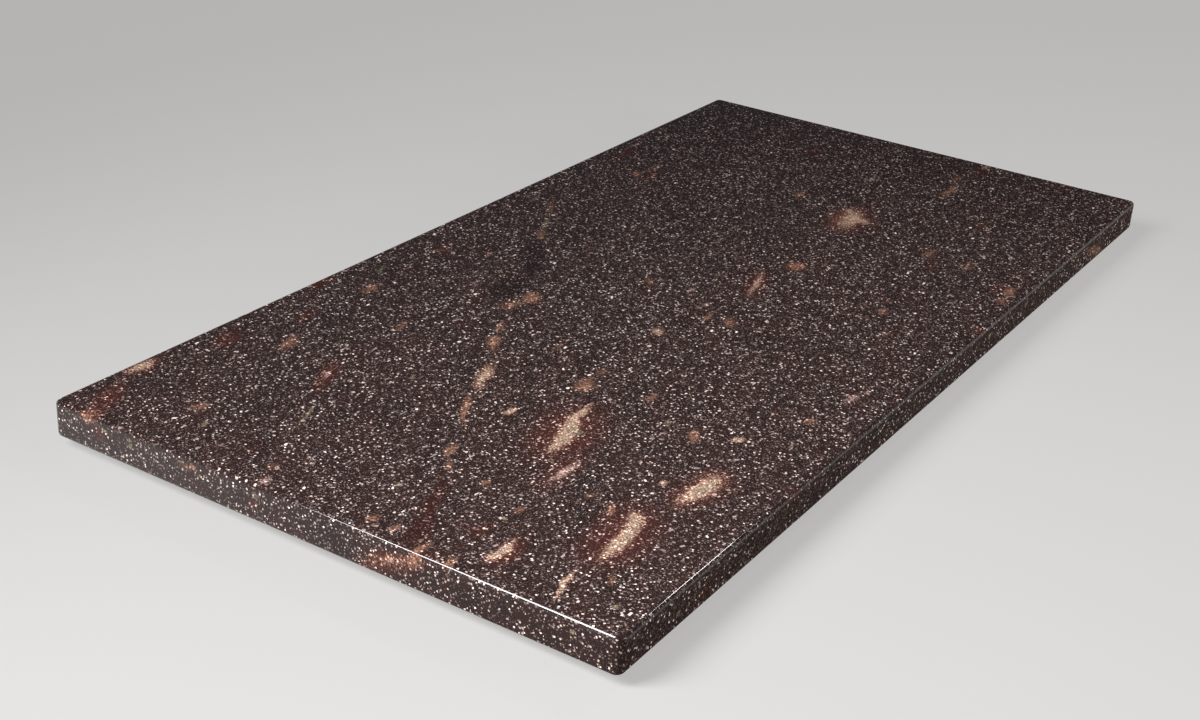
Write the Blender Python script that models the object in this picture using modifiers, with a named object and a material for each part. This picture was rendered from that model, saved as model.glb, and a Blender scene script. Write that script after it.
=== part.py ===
"""Polished stone slab for leather tooling, on four stick-on rubber feet.

Metres, +Z up. The origin is on the bench, under the middle of the slab. The slab's long side runs
along X and its short side along Y. From the bench up, each corner is a stack of three pieces: a
rubber foot, the adhesive disc that holds it, and the slab.
"""

import math

import bmesh
import bpy

# Driving dimensions
SLAB_LENGTH = 0.610  # along X
SLAB_WIDTH = 0.305  # along Y
SLAB_THICKNESS = 0.018
CORNER_RADIUS = 0.004  # the four upright corners, seen from above
TOP_ARRIS_RADIUS = 0.002  # eased edge round the working face
BOTTOM_ARRIS_RADIUS = 0.002  # eased edge round the underside
FOOT_DIAMETER = 0.025
FOOT_HEIGHT = 0.004
FOOT_INSET = 0.036  # from each side of the slab to the foot's centre
FOOT_DRAFT = 0.0008  # how much narrower the foot is at the bench than at its widest
FOOT_EDGE_ROUND = 0.0007
DIMPLE_DIAMETER = 0.009  # shallow hollow in the middle of the foot's sole
DIMPLE_DEPTH = 0.0008
DISC_THICKNESS = 0.0008
DISC_MARGIN = 0.0015  # ring of bare rubber round the adhesive disc

# Clearances
TOUCHING_GAP = 0.0003  # between pieces that rest on each other

# How finely round forms are divided
CORNER_SEGMENTS = 10
ARRIS_SEGMENTS = 6
TURNED_STEPS = 40
ROUND_STEPS = 4
DIMPLE_STEPS = 4
QUARTER_CIRCLE = 0.5  # the bevel's own measure of how full a rounding is
SMOOTH_UP_TO = math.radians(40)  # edges that turn more than this look sharp
SAME_POINT = 0.00001  # points of a turned section closer than this are one

# Heights and places that follow from the sizes above
DISC_BASE = FOOT_HEIGHT + TOUCHING_GAP
SLAB_BASE = DISC_BASE + DISC_THICKNESS + TOUCHING_GAP
DISC_DIAMETER = FOOT_DIAMETER - 2 * DISC_MARGIN
FOOT_X = SLAB_LENGTH / 2 - FOOT_INSET
FOOT_Y = SLAB_WIDTH / 2 - FOOT_INSET
FOOT_PLACES = {
    "front_left": (-FOOT_X, -FOOT_Y),
    "front_right": (FOOT_X, -FOOT_Y),
    "back_left": (-FOOT_X, FOOT_Y),
    "back_right": (FOOT_X, FOOT_Y),
}

# Finishes: colour, roughness, metallic
STONE = ("stone", (0.055, 0.040, 0.038, 1.0), 0.15, 0.0)
RUBBER = ("foot_rubber", (0.018, 0.018, 0.019, 1.0), 0.75, 0.0)
ADHESIVE = ("adhesive_foam", (0.55, 0.54, 0.50, 1.0), 0.60, 0.0)


def clear_scene():
    for thing in list(bpy.data.objects):
        bpy.data.objects.remove(thing, do_unlink=True)


def make_collection(name):
    collection = bpy.data.collections.new(name)
    bpy.context.scene.collection.children.link(collection)
    return collection


def make_material(name, colour, roughness, metallic):
    material = bpy.data.materials.new(name)
    material.use_nodes = True
    shader = material.node_tree.nodes["Principled BSDF"]
    shader.inputs["Base Color"].default_value = colour
    shader.inputs["Roughness"].default_value = roughness
    shader.inputs["Metallic"].default_value = metallic
    return material


def add_object(name, mesh, material, collection, place):
    part = bpy.data.objects.new(name, mesh)
    part.location = place
    if not mesh.materials:
        mesh.materials.append(material)
    collection.objects.link(part)
    return part


def upright(edge):
    low, high = sorted(vertex.co.z for vertex in edge.verts)
    return high - low > SLAB_THICKNESS / 2


def edges_at_height(solid, height):
    return [
        edge
        for edge in solid.edges
        if all(abs(vertex.co.z - height) < TOUCHING_GAP / 10 for vertex in edge.verts)
    ]


def round_edges(solid, edges, radius, segments):
    bmesh.ops.bevel(
        solid,
        geom=edges,
        offset=radius,
        offset_type="OFFSET",
        segments=segments,
        profile=QUARTER_CIRCLE,
        affect="EDGES",
        clamp_overlap=False,
    )


def slab_mesh():
    """A block whose upright corners are rounded first, so that both arrises run round them."""
    solid = bmesh.new()
    bmesh.ops.create_cube(solid, size=1.0)
    bmesh.ops.scale(solid, vec=(SLAB_LENGTH, SLAB_WIDTH, SLAB_THICKNESS), verts=solid.verts)
    bmesh.ops.translate(solid, vec=(0.0, 0.0, SLAB_THICKNESS / 2), verts=solid.verts)
    round_edges(solid, [edge for edge in solid.edges if upright(edge)], CORNER_RADIUS, CORNER_SEGMENTS)
    round_edges(solid, edges_at_height(solid, SLAB_THICKNESS), TOP_ARRIS_RADIUS, ARRIS_SEGMENTS)
    round_edges(solid, edges_at_height(solid, 0.0), BOTTOM_ARRIS_RADIUS, ARRIS_SEGMENTS)
    mesh = bpy.data.meshes.new("stone_slab")
    solid.to_mesh(mesh)
    solid.free()
    return mesh


def arc(centre, radius, start, end, steps):
    """Points (x, z) on an arc from start to end, in degrees from +X."""
    points = []
    for step in range(steps + 1):
        angle = math.radians(start + (end - start) * step / steps)
        points.append((centre[0] + radius * math.cos(angle), centre[1] + radius * math.sin(angle)))
    return points


def dimple_points():
    """The hollow in the sole: part of a ball, from the sole's flat ring up to the axis."""
    half = DIMPLE_DIAMETER / 2
    ball = (half**2 + DIMPLE_DEPTH**2) / (2 * DIMPLE_DEPTH)
    edge = math.degrees(math.asin(half / ball))
    return arc((0.0, DIMPLE_DEPTH - ball), ball, 90 - edge, 90, DIMPLE_STEPS)


def foot_profile():
    """Half of the foot's section, from the axis on top, down its outer side, to the axis again."""
    widest = FOOT_DIAMETER / 2
    top = arc((widest - FOOT_EDGE_ROUND, FOOT_HEIGHT - FOOT_EDGE_ROUND), FOOT_EDGE_ROUND, 90, 0, ROUND_STEPS)
    sole = widest - FOOT_DRAFT
    bottom = arc((sole - FOOT_EDGE_ROUND, FOOT_EDGE_ROUND), FOOT_EDGE_ROUND, 0, -90, ROUND_STEPS)
    return [(0.0, FOOT_HEIGHT)] + top + bottom + dimple_points()


def disc_profile():
    rim = DISC_DIAMETER / 2
    return [(0.0, DISC_THICKNESS), (rim, DISC_THICKNESS), (rim, 0.0), (0.0, 0.0)]


def profile_mesh(name, points):
    mesh = bpy.data.meshes.new(name)
    edges = [(first, first + 1) for first in range(len(points) - 1)]
    mesh.from_pydata([(x, 0.0, z) for x, z in points], edges, [])
    return mesh


def turn(part):
    """Turns a half section once round Z and closes it on the axis."""
    screw = part.modifiers.new("turned", "SCREW")
    screw.axis = "Z"
    screw.angle = math.tau
    screw.steps = TURNED_STEPS
    screw.render_steps = TURNED_STEPS
    screw.use_merge_vertices = True
    screw.merge_threshold = SAME_POINT
    screw.use_smooth_shade = True
    return part


def build():
    clear_scene()
    slab_parts = make_collection("leather_tooling_slab")
    stone = make_material(*STONE)
    rubber = make_material(*RUBBER)
    adhesive = make_material(*ADHESIVE)

    slab = slab_mesh()
    slab.shade_smooth()
    slab.set_sharp_from_angle(angle=SMOOTH_UP_TO)
    add_object("stone_slab", slab, stone, slab_parts, (0.0, 0.0, SLAB_BASE))

    foot = profile_mesh("foot", foot_profile())
    disc = profile_mesh("adhesive_disc", disc_profile())
    for corner, (x, y) in FOOT_PLACES.items():
        turn(add_object(f"foot_{corner}", foot, rubber, slab_parts, (x, y, 0.0)))
        turn(add_object(f"adhesive_disc_{corner}", disc, adhesive, slab_parts, (x, y, DISC_BASE)))


build()
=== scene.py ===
# %% [markdown]
# # A polished stone slab for tooling leather
#
# This lesson dresses a slab of dark speckled stone: one heavy block, polished on top and on its
# edges, standing on four stick-on rubber feet. The solid design is loaded first and stays as it
# is. Everything after that is looks: finer shapes made by Geometry Nodes, and materials that
# are grown in three dimensions, so that the stone's figure runs over its edges as it does in a
# block that was sawn out of a mountain.

import math

import bpy
from mathutils import Matrix, Vector


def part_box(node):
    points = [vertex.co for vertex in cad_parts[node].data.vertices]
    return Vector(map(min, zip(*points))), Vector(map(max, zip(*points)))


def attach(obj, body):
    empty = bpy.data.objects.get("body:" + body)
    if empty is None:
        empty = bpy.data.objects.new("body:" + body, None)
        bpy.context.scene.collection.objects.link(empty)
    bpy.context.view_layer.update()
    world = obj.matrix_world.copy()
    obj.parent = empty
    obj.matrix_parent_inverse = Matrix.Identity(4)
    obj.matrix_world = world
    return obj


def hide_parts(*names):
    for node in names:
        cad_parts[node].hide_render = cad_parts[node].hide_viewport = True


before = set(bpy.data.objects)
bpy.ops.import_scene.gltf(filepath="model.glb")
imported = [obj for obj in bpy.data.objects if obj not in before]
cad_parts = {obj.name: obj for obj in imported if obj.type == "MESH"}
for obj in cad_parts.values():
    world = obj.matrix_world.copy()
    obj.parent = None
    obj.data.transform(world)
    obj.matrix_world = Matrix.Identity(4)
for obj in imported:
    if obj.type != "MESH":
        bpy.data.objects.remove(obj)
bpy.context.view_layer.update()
slab_low, slab_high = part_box("stone_slab")
print("stone alone, mm:", [round(1000 * side, 1) for side in slab_high - slab_low])

# %% [markdown]
# ## A short way to write nodes
#
# Both the shapes and the materials below are node trees. Clicking a tree together by hand is
# fine for a few nodes, but a script needs a compact way to say "this node, with these inputs".
# `add` makes one node. Each input is given by its name or its place, either as a plain value or
# as another node's output, which it then links. Sums and fades are so common that they get a
# short word of their own.

# %% One helper for every node
def add(tree, kind, inputs=None, **settings):
    node = tree.nodes.new(kind)
    for name, value in settings.items():
        setattr(node, name, value)
    for key, value in (inputs or {}).items():
        socket = node.inputs[key]
        if isinstance(value, bpy.types.NodeSocket):
            tree.links.new(value, socket)
        else:
            socket.default_value = value
    return node


# %% Sums, vector sums and fades
def maths(tree, operation, first, second=0.0, third=0.0):
    node = add(tree, "ShaderNodeMath", {0: first, 1: second, 2: third}, operation=operation)
    return node.outputs[0]


def vector_maths(tree, operation, first, second=(0.0, 0.0, 0.0)):
    node = add(tree, "ShaderNodeVectorMath", {0: first, 1: second}, operation=operation)
    return node.outputs["Value" if operation in ("LENGTH", "DISTANCE") else "Vector"]


def scaled_vector(tree, vector, amount):
    node = add(tree, "ShaderNodeVectorMath", {0: vector, "Scale": amount}, operation="SCALE")
    return node.outputs["Vector"]


def fade(tree, value, start, end, low=0.0, high=1.0):
    """A smooth change from low to high while value goes from start to end."""
    inputs = {"Value": value, "From Min": start, "From Max": end, "To Min": low, "To Max": high}
    settings = {"interpolation_type": "SMOOTHSTEP", "clamp": False}
    return add(tree, "ShaderNodeMapRange", inputs, **settings).outputs["Result"]


# %% [markdown]
# ## The slab's shape
#
# On the real slab, the sawn block's upright corners are rounded, and a hand pad then takes the
# sharp edge, the arris, off the top and the underside. That is a rule: a rounded rectangle, and
# a cross-section that is swept round it. So Geometry Nodes draws the rectangle, draws the
# section with its own two roundings, sweeps one along the other, and closes the flat middle
# above and below. Changing a size is then one number and not a new mesh.
#
# Two details make it stone rather than plastic. The straight runs are cut into short lengths,
# and a slow noise lets the arris wander inwards by a few hundredths of a millimetre, as a
# hand-held pad does. A narrow flat rim beside each rounding keeps the big faces truly flat in
# the shading, so the polish reflects like glass there and bends only at the edges.

# %% Sizes of the stone, in metres
CORNER_RADIUS = 0.004
TOP_ARRIS = 0.002
BOTTOM_ARRIS = 0.002
RIM = 0.0030  # width of the swept band, which has to be less than the corner's radius
CREASE = 0.0002  # how close a support loop lies to its rounding
RUN_LENGTH = 0.0015  # longest piece of a straight run
CORNER_STEPS = 14
ARRIS_STEPS = 10
ARRIS_WANDER = 0.00006  # the furthest that the pad went in

slab_size = slab_high - slab_low
flat_face = [round(1000 * (side - 2 * TOP_ARRIS)) for side in slab_size.xy]
print("flat part of the working face, mm:", flat_face)

# %% Inputs for a Geometry Nodes tree
SOCKETS = {"Material": "NodeSocketMaterial", "Steps": "NodeSocketInt"}


def new_shape_tree(name, input_names):
    """An empty tree with a geometry output and one named input for each size."""
    tree = bpy.data.node_groups.new(name, "GeometryNodeTree")
    tree.interface.new_socket("Geometry", in_out="OUTPUT", socket_type="NodeSocketGeometry")
    for label in input_names:
        kind = SOCKETS.get(label.split()[-1], "NodeSocketFloat")
        tree.interface.new_socket(label, in_out="INPUT", socket_type=kind)
    return tree, tree.nodes.new("NodeGroupInput").outputs


def moved(tree, geometry, distance):
    """The same geometry, moved by distance, which is an output that holds a vector."""
    inputs = {"Geometry": geometry, "Translation": distance}
    return add(tree, "GeometryNodeTransform", inputs).outputs[0]


def close_tree(tree, geometry, material):
    """Ends a tree as every shape here ends: real geometry, smooth, with its material."""
    real = add(tree, "GeometryNodeRealizeInstances", {"Geometry": geometry})
    smooth = add(tree, "GeometryNodeSetShadeSmooth", {"Geometry": real.outputs[0]})
    inputs = {"Geometry": smooth.outputs[0], "Material": material}
    painted = add(tree, "GeometryNodeSetMaterial", inputs)
    add(tree, "NodeGroupOutput", {"Geometry": painted.outputs[0]})


# %% [markdown]
# ## A line with rounded corners
#
# Every section in this lesson is a short line with some of its corners rounded. Geometry Nodes
# has no node for "a line through these points", but a plain line cut into as many points as are
# needed can have each point sent to its own place, chosen by the point's number. Fillet Curve
# then rounds each corner by a radius that is chosen in the same way, and 0 keeps it sharp.

# %% A rounded line through given corners
def choose_by_index(tree, kind, index, values):
    """One value for each point of a curve."""
    choose = add(tree, "GeometryNodeIndexSwitch", data_type=kind)
    while len(choose.index_switch_items) < len(values):
        choose.index_switch_items.new()
    tree.links.new(index, choose.inputs["Index"])
    for number, value in enumerate(values):
        if isinstance(value, bpy.types.NodeSocket):
            tree.links.new(value, choose.inputs[number + 1])
        else:
            choose.inputs[number + 1].default_value = value
    return choose.outputs[0]


def rounded_line(tree, corners, steps):
    """An open curve through corners: each is (x, y, rounding), as sockets or numbers."""
    line = add(tree, "GeometryNodeCurvePrimitiveLine")
    inputs = {"Curve": line.outputs[0], "Count": len(corners)}
    cut = add(tree, "GeometryNodeResampleCurve", inputs)
    index = add(tree, "GeometryNodeInputIndex").outputs[0]
    places = []
    for x, y, _ in corners:
        places.append(add(tree, "ShaderNodeCombineXYZ", {"X": x, "Y": y}).outputs[0])
    at = choose_by_index(tree, "VECTOR", index, places)
    placed = add(tree, "GeometryNodeSetPosition", {"Geometry": cut.outputs[0], "Position": at})
    radius = choose_by_index(tree, "FLOAT", index, [rounding for _, _, rounding in corners])
    inputs = {"Curve": placed.outputs[0], "Count": steps, "Radius": radius}
    return add(tree, "GeometryNodeFilletCurve", inputs, mode="POLY").outputs[0]


# %% [markdown]
# ## The path and the section
#
# The path is the rectangle, drawn one rim inside the outer faces, and the section starts and
# ends on it. A rectangle has only four long runs, and nothing can wander between two points, so
# each point measures how far away the next one is, and the run between them is cut up by that.
# The section goes out over the top, down the face and in again underneath. A support loop lies
# close beside each rounding, so that the shading of the curve doesn't leak into the flat faces.

# %% The path round the slab
def cut_runs(tree, curve, run_length):
    """The same closed curve, with no run between two points much longer than run_length."""
    index = add(tree, "GeometryNodeInputIndex").outputs[0]
    position = add(tree, "GeometryNodeInputPosition").outputs[0]
    count = add(tree, "GeometryNodeAttributeDomainSize", {0: curve}, component="CURVE")
    one_on = maths(tree, "ADD", index, 1.0)
    following = maths(tree, "MODULO", one_on, count.outputs["Point Count"])
    inputs = {"Index": following, "Value": position}
    settings = {"domain": "POINT", "data_type": "FLOAT_VECTOR"}
    ahead = add(tree, "GeometryNodeFieldAtIndex", inputs, **settings)
    run = vector_maths(tree, "DISTANCE", position, ahead.outputs[0])
    cuts = maths(tree, "FLOOR", maths(tree, "DIVIDE", run, run_length))
    return add(tree, "GeometryNodeSubdivideCurve", {"Curve": curve, "Cuts": cuts}).outputs[0]


def slab_path(tree, size):
    both_rims = maths(tree, "MULTIPLY", size["Rim"], 2.0)
    inputs = {
        "Width": maths(tree, "SUBTRACT", size["Length"], both_rims),
        "Height": maths(tree, "SUBTRACT", size["Width"], both_rims),
    }
    rectangle = add(tree, "GeometryNodeCurvePrimitiveQuadrilateral", inputs)
    inputs = {
        "Curve": rectangle.outputs[0],
        "Count": size["Corner Steps"],
        "Radius": maths(tree, "SUBTRACT", size["Corner Radius"], size["Rim"]),
    }
    rounded = add(tree, "GeometryNodeFilletCurve", inputs, mode="POLY")
    return cut_runs(tree, rounded.outputs[0], size["Run Length"])


# %% The section of its edge
def slab_section(tree, size):
    """Corners as (outwards, down, rounding)."""
    rim = size["Rim"]
    depth = size["Thickness"]
    top_end = maths(tree, "ADD", size["Top Arris"], size["Crease"])
    bottom_end = maths(tree, "ADD", size["Bottom Arris"], size["Crease"])
    corners = [
        (0.0, 0.0, 0.0),
        (maths(tree, "SUBTRACT", rim, top_end), 0.0, 0.0),
        (rim, 0.0, size["Top Arris"]),
        (rim, top_end, 0.0),
        (rim, maths(tree, "SUBTRACT", depth, bottom_end), 0.0),
        (rim, depth, size["Bottom Arris"]),
        (maths(tree, "SUBTRACT", rim, bottom_end), depth, 0.0),
        (0.0, depth, 0.0),
    ]
    return rounded_line(tree, corners, size["Arris Steps"])


# %% [markdown]
# ## One closed skin
#
# Curve to Mesh gives the swept band. The flat middle is the filled path, used twice: as it is
# on top, and turned to face down and lowered underneath. The three only lie against each other,
# so Merge by Distance welds them into one closed skin. Stone has no seams, and a gap of no
# width at all would still show as a hairline in the polish.

# %% Sweeping, closing and welding
WELD_DISTANCE = 0.00001  # corners closer than this become one corner


def slab_skin(tree, path, section, depth):
    band = add(tree, "GeometryNodeCurveToMesh", {"Curve": path, "Profile Curve": section})
    middle = add(tree, "GeometryNodeFillCurve", {"Curve": path}, mode="NGONS")
    underside = add(tree, "GeometryNodeFlipFaces", {"Mesh": middle.outputs[0]})
    down = add(tree, "ShaderNodeCombineXYZ", {"Z": maths(tree, "MULTIPLY", depth, -1.0)})
    lowered = moved(tree, underside.outputs[0], down.outputs[0])
    joined = add(tree, "GeometryNodeJoinGeometry")
    for part in (band.outputs[0], middle.outputs[0], lowered):
        tree.links.new(part, joined.inputs[0])
    inputs = {"Geometry": joined.outputs[0], "Distance": WELD_DISTANCE}
    return add(tree, "GeometryNodeMergeByDistance", inputs).outputs[0]


# %% [markdown]
# ## A hand-eased edge
#
# A machine would round the edge evenly, and it would look cast. Here each point of a rounding
# moves along its own normal, by a slow noise, and only ever inwards, so that the stone stays
# inside its size. The flat faces have to stay flat: their points look straight up, straight
# down or level, and that is how the selection leaves them out.

# %% The pad's wandering hand
WAVES_IN_A_METRE = 60.0
NEARLY_FLAT = 0.995  # how straight up, down or sideways a point of a flat face looks


def wandering_arris(tree, skin, wander):
    """Moves the rounded places, and only inwards."""
    normal = add(tree, "GeometryNodeInputNormal").outputs[0]
    upright = add(tree, "ShaderNodeSeparateXYZ", {0: normal}).outputs["Z"]
    level = vector_maths(tree, "MULTIPLY", normal, (1.0, 1.0, 0.0))
    across = vector_maths(tree, "LENGTH", level)
    flattest = maths(tree, "MAXIMUM", across, maths(tree, "ABSOLUTE", upright))
    bent = maths(tree, "LESS_THAN", flattest, NEARLY_FLAT)
    inputs = {"Scale": WAVES_IN_A_METRE, "Detail": 3.0}
    wave = add(tree, "ShaderNodeTexNoise", inputs).outputs[0]
    inwards = maths(tree, "MULTIPLY", maths(tree, "MULTIPLY", wave, wander), -1.0)
    step = scaled_vector(tree, normal, inwards)
    inputs = {"Geometry": skin, "Selection": bent, "Offset": step}
    return add(tree, "GeometryNodeSetPosition", inputs).outputs[0]


# %% The whole tree
def slab_tree(sizes):
    tree, size = new_shape_tree("slab with eased edges", list(sizes))
    path = slab_path(tree, size)
    section = slab_section(tree, size)
    skin = slab_skin(tree, path, section, size["Thickness"])
    eased = wandering_arris(tree, skin, size["Wander"])
    lift = add(tree, "ShaderNodeCombineXYZ", {"Z": size["Top"]})
    close_tree(tree, moved(tree, eased, lift.outputs[0]), size["Material"])
    print("slab's tree:", len(tree.nodes), "nodes,", len(sizes), "inputs")
    return tree


# %% [markdown]
# ## From a tree to a piece
#
# A modifier runs the tree. Its inputs are set by their identifiers before anything is worked
# out, and the evaluated result is then kept as an ordinary mesh, without the modifier. A plain
# mesh is what other programs can read, and its object stays at the origin, so that a pattern on
# Object coordinates means the same place for every piece.

# %% Running a tree
def make_shape(name, tree, sizes):
    """Runs a tree with these sizes and keeps the result as an ordinary mesh object."""
    carrier = bpy.data.objects.new(name + "_carrier", bpy.data.meshes.new(name + "_carrier"))
    bpy.context.scene.collection.objects.link(carrier)
    modifier = carrier.modifiers.new("shape", "NODES")
    modifier.node_group = tree
    for item in tree.interface.items_tree:
        if item.in_out == "INPUT":
            modifier[item.identifier] = sizes[item.name]
    depsgraph = bpy.context.evaluated_depsgraph_get()
    mesh = bpy.data.meshes.new_from_object(carrier.evaluated_get(depsgraph))
    mesh.name = name
    bpy.data.objects.remove(carrier)
    piece = bpy.data.objects.new(name, mesh)
    bpy.context.scene.collection.objects.link(piece)
    corners = [vertex.co * 1000 for vertex in mesh.vertices]
    low = [round(min(corner[axis] for corner in corners), 2) for axis in range(3)]
    high = [round(max(corner[axis] for corner in corners), 2) for axis in range(3)]
    print(name, len(mesh.polygons), "faces, mm:", low, "to", high)
    return piece


# %% The polished slab
stone = bpy.data.materials.new("polished stone")
slab_sizes = {
    "Length": slab_size.x,
    "Width": slab_size.y,
    "Thickness": slab_size.z,
    "Top": slab_high.z,
    "Corner Radius": CORNER_RADIUS,
    "Top Arris": TOP_ARRIS,
    "Bottom Arris": BOTTOM_ARRIS,
    "Rim": RIM,
    "Crease": CREASE,
    "Run Length": RUN_LENGTH,
    "Wander": ARRIS_WANDER,
    "Corner Steps": CORNER_STEPS,
    "Arris Steps": ARRIS_STEPS,
    "Material": stone,
}
polished_slab = make_shape("polished_slab", slab_tree(slab_sizes), slab_sizes)
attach(polished_slab, "root")
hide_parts("stone_slab")

# %% [markdown]
# ## Rubber feet and their adhesive discs
#
# The feet are the plain kind sold on a card: moulded rubber buttons with a slight taper, a soft
# lower edge, a dimple in the sole that grips like a weak sucker, and a thin disc of adhesive
# foam that holds each one to the stone. Both are turned shapes. A turned shape is the same rule
# as the slab: a section swept round a path, and here the path is a small circle. One tree does
# it for any section, so the foot and the disc are two lists of corners.

# %% A tree for turned shapes
TURNED_STEPS = 96
SECTION_STEPS = 5
SPINDLE = 0.0005  # radius of the small circle that the section is swept round
TURNED_WELD = 0.000002  # closes the poles, and is finer than the smallest rounding's steps
RIM_WAVES_IN_A_METRE = 260.0


def waved_rim(tree, geometry, amount, seed_offset):
    """Pulls the rim in a little here and there, never out, and not twice in the same way."""
    position = add(tree, "GeometryNodeInputPosition").outputs[0]
    shifted = add(tree, "ShaderNodeCombineXYZ", {"Z": seed_offset}).outputs[0]
    place = vector_maths(tree, "ADD", position, shifted)
    inputs = {"Vector": place, "Scale": RIM_WAVES_IN_A_METRE, "Detail": 1.0}
    wave = add(tree, "ShaderNodeTexNoise", inputs).outputs[0]
    shrink = maths(tree, "SUBTRACT", 1.0, maths(tree, "MULTIPLY", wave, amount))
    flat = add(tree, "ShaderNodeCombineXYZ", {"X": shrink, "Y": shrink, "Z": 1.0}).outputs[0]
    inputs = {"Geometry": geometry, "Position": vector_maths(tree, "MULTIPLY", position, flat)}
    return add(tree, "GeometryNodeSetPosition", inputs).outputs[0]


def turned_tree(name, section_corners):
    """section_corners takes the tree and its sizes and returns (radius, height, rounding)."""
    tree, size = new_shape_tree(
        name,
        [
            "Radius",
            "Height",
            "Centre X",
            "Centre Y",
            "Base",
            "Rim Wave",
            "Wave Seed Offset",
            "Material",
        ],
    )
    corners = []
    for radius, height, rounding in reversed(section_corners(tree, size)):
        outwards = maths(tree, "SUBTRACT", radius, SPINDLE)
        corners.append((outwards, maths(tree, "MULTIPLY", height, -1.0), rounding))
    section = rounded_line(tree, corners, SECTION_STEPS)
    inputs = {"Resolution": TURNED_STEPS, "Radius": SPINDLE}
    spindle = add(tree, "GeometryNodeCurvePrimitiveCircle", inputs, mode="RADIUS")
    inputs = {"Curve": spindle.outputs[0], "Profile Curve": section}
    turned = add(tree, "GeometryNodeCurveToMesh", inputs)
    inputs = {"Geometry": turned.outputs[0], "Distance": TURNED_WELD}
    welded = add(tree, "GeometryNodeMergeByDistance", inputs).outputs[0]
    waved = waved_rim(tree, welded, size["Rim Wave"], size["Wave Seed Offset"])
    inputs = {"X": size["Centre X"], "Y": size["Centre Y"], "Z": size["Base"]}
    centre = add(tree, "ShaderNodeCombineXYZ", inputs)
    close_tree(tree, moved(tree, waved, centre.outputs[0]), size["Material"])
    print(name + ":", len(tree.nodes), "nodes")
    return tree


# %% [markdown]
# ## The foot's section
#
# A foot's section starts in the middle of the sole. The dimple comes first, then three grooves
# that a moulder adds for grip, then the rounded lower edge, and the side, which leans inwards so
# that the foot comes out of its mould. A step of under a tenth of a millimetre on the side is
# the parting line, where the two halves of the mould met. All of it is real geometry, because
# these small steps catch the light at the bench's level, where a painted line would not.

# %% Sizes of a foot, in metres
DIMPLE_RADIUS = 0.0045
DIMPLE_DEPTH = 0.0008
DIMPLE_FLAT = 0.6  # share of the dimple's radius that is level
DIMPLE_INNER_ROUNDING = 0.0005
DIMPLE_OUTER_ROUNDING = 0.0003
GROOVES = 3
FIRST_GROOVE = 0.006
GROOVE_STEP = 0.0018
GROOVE_WIDTH = 0.0006
GROOVE_DEPTH = 0.00025
GROOVE_LIP = 0.00008
GROOVE_FLOOR_ROUNDING = 0.00005
GROOVE_SLOPE = 0.3  # share of a groove's width that each of its sides takes
SOLE_ROUNDING = 0.0006
TOP_ROUNDING = 0.00025
FOOT_DRAFT = 0.0008  # how far the side has leaned in...
DRAFT_HEIGHT = 0.004  # ...by this height
PARTING_HEIGHT = 0.0030
PARTING_IN = 0.00008
PARTING_UP = 0.00005
groove_radii = [round(1000 * (FIRST_GROOVE + number * GROOVE_STEP), 1) for number in range(GROOVES)]
print("grip grooves at radii, mm:", groove_radii)


# %% The foot's corners
def groove_corners(inner):
    """One grip groove, whose inner lip lies at this radius."""
    slope = GROOVE_SLOPE * GROOVE_WIDTH
    return [
        (inner, 0.0, GROOVE_LIP),
        (inner + slope, GROOVE_DEPTH, GROOVE_FLOOR_ROUNDING),
        (inner + (1 - GROOVE_SLOPE) * GROOVE_WIDTH, GROOVE_DEPTH, GROOVE_FLOOR_ROUNDING),
        (inner + GROOVE_WIDTH, 0.0, GROOVE_LIP),
    ]


def foot_corners(tree, size):
    """From the middle of the sole, over its grip grooves and up the side, to the top's middle."""
    taper = maths(tree, "SUBTRACT", size["Radius"], FOOT_DRAFT)
    rows = [(0.0, DIMPLE_DEPTH, 0.0)]
    rows.append((DIMPLE_FLAT * DIMPLE_RADIUS, DIMPLE_DEPTH, DIMPLE_INNER_ROUNDING))
    rows.append((DIMPLE_RADIUS, 0.0, DIMPLE_OUTER_ROUNDING))
    for number in range(GROOVES):
        rows += groove_corners(FIRST_GROOVE + number * GROOVE_STEP)
    rows.append((size["Radius"], 0.0, SOLE_ROUNDING))
    leaned = FOOT_DRAFT * PARTING_HEIGHT / DRAFT_HEIGHT
    side = maths(tree, "SUBTRACT", size["Radius"], leaned)
    rows.append((side, PARTING_HEIGHT, 0.0))
    rows.append((maths(tree, "SUBTRACT", side, PARTING_IN), PARTING_HEIGHT + PARTING_UP, 0.0))
    rows.append((taper, size["Height"], TOP_ROUNDING))
    rows.append((0.0, size["Height"], 0.0))
    return rows


# %% [markdown]
# ## The disc's section
#
# The disc is punched out of foam sheet. The punch pinches both faces, and the foam between them
# springs back a little further out, so its cut rim bulges. Five corners say that.

# %% The disc's corners
FOAM_BULGE = 0.00015
BULGE_ROUNDING = 0.0002
PUNCHED_ROUNDING = 0.00005


def disc_corners(tree, size):
    """A thin pad whose cut rim bulges between its two faces."""
    inner = maths(tree, "SUBTRACT", size["Radius"], FOAM_BULGE)
    middle = maths(tree, "MULTIPLY", size["Height"], 0.5)
    return [
        (0.0, 0.0, 0.0),
        (inner, 0.0, PUNCHED_ROUNDING),
        (size["Radius"], middle, BULGE_ROUNDING),
        (inner, size["Height"], PUNCHED_ROUNDING),
        (0.0, size["Height"], 0.0),
    ]


# %% [markdown]
# ## Four feet and four discs
#
# Each piece takes its place, its radius and its height from the node of the design that it
# stands for, so a foot that moves in the design moves here too. Eight copies of one perfect
# button would look copied, so each rim waves in its own way: the rubber by up to a twentieth of
# a millimetre, the soft foam by up to a third.

# %% The trees of the feet and the discs
rubber = bpy.data.materials.new("moulded rubber")
foam = bpy.data.materials.new("adhesive foam")
foot_tree = turned_tree("turned foot", foot_corners)
disc_tree = turned_tree("adhesive disc", disc_corners)


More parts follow.
